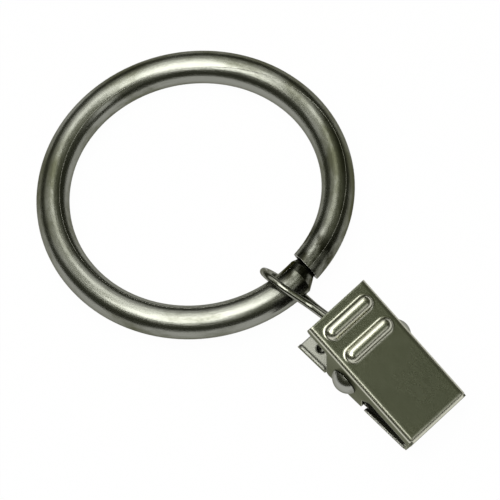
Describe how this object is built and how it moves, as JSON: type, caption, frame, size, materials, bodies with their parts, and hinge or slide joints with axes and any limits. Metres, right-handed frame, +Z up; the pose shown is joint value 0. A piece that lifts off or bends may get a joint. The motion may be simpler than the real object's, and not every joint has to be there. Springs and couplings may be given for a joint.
{
  "type": "curtain ring with clip",
  "caption": "Dark plated metal curtain ring that slides on a rod, with a wire eye and a sprung clip whose ribbed handles open the folded jaws that grip the fabric.",
  "frame": {"origin": "centre of the ring, which is the centre of the hole that the curtain rod goes through", "axes": "+Z up from the table that the part lies on, +X from the ring's centre along the clip to its mouth"},
  "size_m": [0.0764, 0.048, 0.0135],
  "materials": {
    "ring_plating": "dark nickel plating, satin, finely streaked along the tube",
    "eye_plating": "dark nickel plating on drawn wire",
    "upper_jaw_plating": "dark nickel plating, smooth and half glossy",
    "lower_jaw_plating": "dark nickel plating, smooth and half glossy",
    "pin_plating": "dark nickel plating on domed rivet heads",
    "spring_steel": "bright spring steel wire"
  },
  "bodies": {
    "ring": {"curtain_ring": "ring_plating"},
    "eye": {"wire_eye": "eye_plating"},
    "lower_clip": {"lower_jaw": "lower_jaw_plating", "hinge_pin": "pin_plating", "torsion_spring": "spring_steel"},
    "upper_clip": {"upper_jaw": "upper_jaw_plating"}
  },
  "joints": [
    {"name": "eye_swing", "type": "hinge", "parent": "ring", "child": "eye", "pos_m": [0.02145, -0.00131, 0.00069], "axis": [0.061, 0.9981, 0.002], "continuous": true},
    {"name": "clip_pivot", "type": "hinge", "parent": "eye", "child": "lower_clip", "pos_m": [0.0386, -0.00076, 0.00239], "axis": [0, 1, 0], "range_deg": [-15, 4]},
    {"name": "jaw_hinge", "type": "hinge", "parent": "lower_clip", "child": "upper_clip", "pos_m": [0.0386, -0.00076, 0.00239], "axis": [0, -1, 0], "range_deg": [0, 25], "stiffness_Nm_per_rad": 0.05, "springref_deg": -60.16, "deforming": ["torsion_spring"]}
  ]
}
